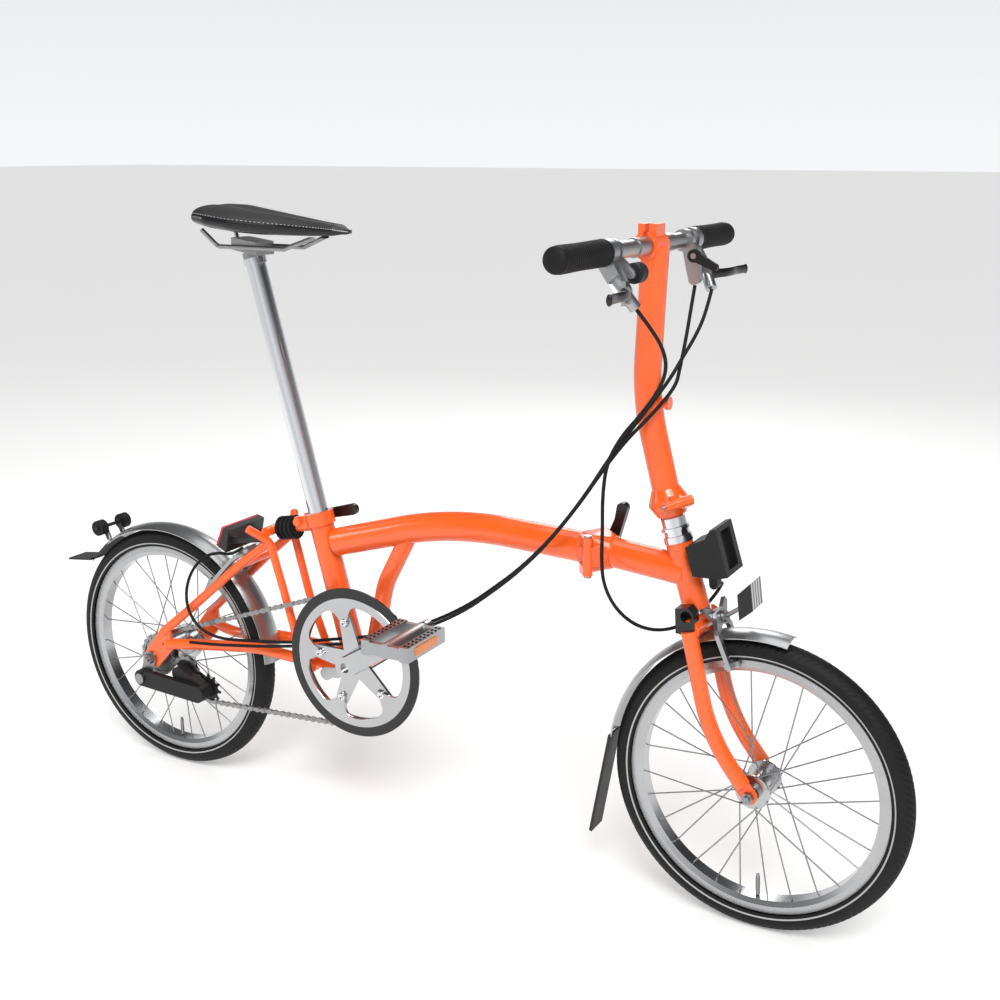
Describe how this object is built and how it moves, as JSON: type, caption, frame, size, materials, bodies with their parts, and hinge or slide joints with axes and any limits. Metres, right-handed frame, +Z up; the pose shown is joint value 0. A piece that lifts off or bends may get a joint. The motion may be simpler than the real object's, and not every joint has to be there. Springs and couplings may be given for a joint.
{
  "type": "folding bicycle",
  "caption": "Small-wheeled folding bicycle with a curved main tube, hinged front end, folding stem and handlebar, swinging rear frame, telescoping seat post and folding pedal.",
  "frame": {"origin": "centre of the overall box on the ground plane under the tyres", "axes": "+X forwards, from the rear wheel to the front wheel; +Y to the left side, away from the chain; +Z up"},
  "size_m": [1.4812, 0.552, 0.9635],
  "materials": {
    "orange_paint": "gloss powder coat",
    "bare_aluminium": "satin",
    "polished_aluminium": "polished",
    "chrome": "mirror",
    "steel": "brushed",
    "black_rubber": "matte",
    "tyre_rubber": "matte tread with a pale reflective ring on each side",
    "black_plastic": "fine grain",
    "gloss_black_plastic": "gloss",
    "silver_mudguard": "satin silver",
    "saddle_cover": "grained with a gloss side",
    "red_reflector": "moulded prisms",
    "clear_reflector": "moulded prisms"
  },
  "bodies": {
    "main_frame": {"main_tube": "orange_paint", "seat_tube": "orange_paint", "curved_strut": "orange_paint", "bottom_bracket": "orange_paint", "main_hinge_clamp": "bare_aluminium", "seat_clamp": "orange_paint", "chain": "steel", "cables": "black_rubber"},
    "seat_clamp_lever": {"seat_clamp_lever": "polished_aluminium"},
    "main_hinge_lever": {"main_hinge_lever": "bare_aluminium"},
    "seat_post": {"seat_post": "chrome", "saddle": "saddle_cover", "saddle_rails": "steel"},
    "front_frame": {"front_tube": "orange_paint", "headset": "chrome", "carrier_block": "black_plastic"},
    "fork": {"fork": "orange_paint", "front_axle": "steel", "front_mudguard": "silver_mudguard", "front_reflector": "clear_reflector", "handlebar_catch": "gloss_black_plastic", "stem_hinge_lower": "orange_paint", "stem_hinge_clamp": "bare_aluminium"},
    "front_caliper_left_arm": {"front_caliper_left_arm": "bare_aluminium"},
    "front_caliper_right_arm": {"front_caliper_right_arm": "bare_aluminium"},
    "front_wheel": {"front_tyre": "tyre_rubber", "front_rim": "bare_aluminium", "front_spokes": "steel", "front_hub": "polished_aluminium"},
    "stem": {"stem": "orange_paint", "handlebar": "bare_aluminium", "handlebar_grips": "black_rubber", "lever_brackets": "bare_aluminium"},
    "right_brake_lever": {"right_brake_lever": "bare_aluminium"},
    "left_brake_lever": {"left_brake_lever": "bare_aluminium"},
    "gear_lever": {"gear_lever": "black_plastic"},
    "bell": {"bell": "black_plastic"},
    "stem_hinge_lever": {"stem_hinge_lever": "bare_aluminium"},
    "crankset": {"crank_arms": "polished_aluminium", "chainring": "steel"},
    "right_pedal": {"right_pedal": "black_plastic"},
    "left_pedal_hinge": {"left_pedal_hinge": "bare_aluminium"},
    "left_pedal": {"left_pedal": "black_plastic"},
    "rear_frame": {"chainstays": "orange_paint", "rear_stays": "orange_paint", "suspension_block": "black_rubber", "rear_mudguard": "silver_mudguard", "rear_reflector": "red_reflector", "rear_axle": "steel"},
    "rear_caliper_left_arm": {"rear_caliper_left_arm": "bare_aluminium"},
    "rear_caliper_right_arm": {"rear_caliper_right_arm": "bare_aluminium"},
    "rear_wheel": {"rear_tyre": "tyre_rubber", "rear_rim": "bare_aluminium", "rear_spokes": "steel", "rear_hub": "polished_aluminium"},
    "sprocket": {"sprocket": "steel"},
    "tensioner_arm": {"tensioner_arm": "black_plastic"},
    "upper_idler": {"upper_idler": "black_plastic"},
    "lower_idler": {"lower_idler": "black_plastic"},
    "mudguard_rollers": {"mudguard_rollers": "black_rubber"}
  },
  "joints": [
    {"name": "main_hinge", "type": "hinge", "parent": "main_frame", "child": "front_frame", "pos_m": [0.289, -0.036, 0.504], "axis": [0, 0, 1], "range_deg": [-140, 0], "deforming": ["cables"]},
    {"name": "rear_frame_fold", "type": "hinge", "parent": "main_frame", "child": "rear_frame", "pos_m": [-0.197, 0, 0.25], "axis": [0, -1, 0], "range_deg": [0, 140], "deforming": ["chain"]},
    {"name": "steering", "type": "hinge", "parent": "front_frame", "child": "fork", "pos_m": [0.407, 0, 0.534], "axis": [0.294, 0, -0.9558], "range_deg": [-80, 80]},
    {"name": "stem_hinge", "type": "hinge", "parent": "fork", "child": "stem", "pos_m": [0.41342, -0.02334, 0.59247], "axis": [0.6758, 0.7071, 0.2079], "range_deg": [0, 150]},
    {"name": "front_wheel_spin", "type": "hinge", "parent": "fork", "child": "front_wheel", "pos_m": [0.532, 0, 0.209], "axis": [0, 1, 0], "continuous": true},
    {"name": "rear_wheel_spin", "type": "hinge", "parent": "rear_frame", "child": "rear_wheel", "pos_m": [-0.513, 0, 0.209], "axis": [0, 1, 0], "continuous": true},
    {"name": "crank_spin", "type": "hinge", "parent": "main_frame", "child": "crankset", "pos_m": [-0.099, 0, 0.278], "axis": [0, -1, 0], "continuous": true},
    {"name": "sprocket_spin", "type": "hinge", "parent": "rear_frame", "child": "sprocket", "pos_m": [-0.513, 0, 0.209], "axis": [0, -1, 0], "continuous": true},
    {"name": "tensioner_swing", "type": "hinge", "parent": "rear_frame", "child": "tensioner_arm", "pos_m": [-0.5265, -0.07, 0.175], "axis": [0, 1, 0], "range_deg": [0, 30], "stiffness_Nm_per_rad": 1, "springref_deg": -17.19},
    {"name": "upper_idler_spin", "type": "hinge", "parent": "tensioner_arm", "child": "upper_idler", "pos_m": [-0.4513, -0.044, 0.19333], "axis": [0, -1, 0], "continuous": true},
    {"name": "lower_idler_spin", "type": "hinge", "parent": "tensioner_arm", "child": "lower_idler", "pos_m": [-0.40411, -0.044, 0.16963], "axis": [0, -1, 0], "continuous": true},
    {"name": "mudguard_roller_spin", "type": "hinge", "parent": "rear_frame", "child": "mudguard_rollers", "pos_m": [-0.649, 0, 0.409], "axis": [0, 1, 0], "continuous": true},
    {"name": "right_pedal_spin", "type": "hinge", "parent": "crankset", "child": "right_pedal", "pos_m": [0.0455, -0.11, 0.3676], "axis": [0, 1, 0], "continuous": true},
    {"name": "left_pedal_fold", "type": "hinge", "parent": "crankset", "child": "left_pedal_hinge", "pos_m": [-0.2535, 0.089, 0.1884], "axis": [0, 0, 1], "range_deg": [0, 90]},
    {"name": "left_pedal_spin", "type": "hinge", "parent": "left_pedal_hinge", "child": "left_pedal", "pos_m": [-0.2435, 0.11, 0.1884], "axis": [0, 1, 0], "continuous": true},
    {"name": "right_brake_lever_squeeze", "type": "hinge", "parent": "stem", "child": "right_brake_lever", "pos_m": [0.385, -0.146, 0.879], "axis": [0, 0, -1], "range_deg": [0, 20], "stiffness_Nm_per_rad": 0.5, "springref_deg": -11.46},
    {"name": "left_brake_lever_squeeze", "type": "hinge", "parent": "stem", "child": "left_brake_lever", "pos_m": [0.385, 0.146, 0.879], "axis": [0, 0, 1], "range_deg": [0, 20], "stiffness_Nm_per_rad": 0.5, "springref_deg": -11.46},
    {"name": "gear_lever_turn", "type": "hinge", "parent": "stem", "child": "gear_lever", "pos_m": [0.377, 0.102, 0.905], "axis": [0, 1, 0], "range_deg": [-20, 20]},
    {"name": "bell_turn", "type": "hinge", "parent": "stem", "child": "bell", "pos_m": [0.383, -0.106, 0.899], "axis": [0, 1, 0], "range_deg": [-30, 30], "stiffness_Nm_per_rad": 0.1},
    {"name": "front_caliper_left_close", "type": "hinge", "parent": "fork", "child": "front_caliper_left_arm", "pos_m": [0.46262, 0, 0.4344], "axis": [-0.9208, 0, -0.3899], "range_deg": [0, 1.46]},
    {"name": "front_caliper_right_close", "type": "hinge", "parent": "fork", "child": "front_caliper_right_arm", "pos_m": [0.46262, 0, 0.4344], "axis": [0.9208, 0, 0.3899], "range_deg": [0, 1.46]},
    {"name": "rear_caliper_left_close", "type": "hinge", "parent": "rear_frame", "child": "rear_caliper_left_arm", "pos_m": [-0.33998, 0, 0.40482], "axis": [-0.7128, 0, 0.7013], "range_deg": [0, 1.46]},
    {"name": "rear_caliper_right_close", "type": "hinge", "parent": "rear_frame", "child": "rear_caliper_right_arm", "pos_m": [-0.33998, 0, 0.40482], "axis": [0.7128, 0, -0.7013], "range_deg": [0, 1.46]},
    {"name": "seat_post_slide", "type": "slide", "parent": "main_frame", "child": "seat_post", "axis": [-0.2605, 0, 0.9655], "range_m": [-0.3, 0.02]},
    {"name": "seat_clamp_lever_open", "type": "hinge", "parent": "main_frame", "child": "seat_clamp_lever", "pos_m": [-0.22435, 0.024, 0.4765], "axis": [0, 1, 0], "range_deg": [0, 120]},
    {"name": "main_hinge_lever_turn", "type": "hinge", "parent": "main_frame", "child": "main_hinge_lever", "pos_m": [0.289, 0.045, 0.504], "axis": [0, 1, 0], "range_deg": [0, 1080]},
    {"name": "stem_hinge_lever_turn", "type": "hinge", "parent": "fork", "child": "stem_hinge_lever", "pos_m": [0.36706, 0.02517, 0.57821], "axis": [-0.6758, 0.7071, -0.2079], "range_deg": [0, 1080]}
  ],
  "couplings": [
    {"joint": "sprocket_spin", "follows": "crank_spin", "ratio": 3.375},
    {"joint": "upper_idler_spin", "follows": "crank_spin", "ratio": -4.9091},
    {"joint": "lower_idler_spin", "follows": "crank_spin", "ratio": 4.9091},
    {"joint": "front_caliper_left_close", "follows": "right_brake_lever_squeeze", "ratio": 0.068},
    {"joint": "rear_caliper_left_close", "follows": "left_brake_lever_squeeze", "ratio": 0.068},
    {"joint": "front_caliper_right_close", "follows": "right_brake_lever_squeeze", "ratio": 0.068},
    {"joint": "rear_caliper_right_close", "follows": "left_brake_lever_squeeze", "ratio": 0.068}
  ]
}
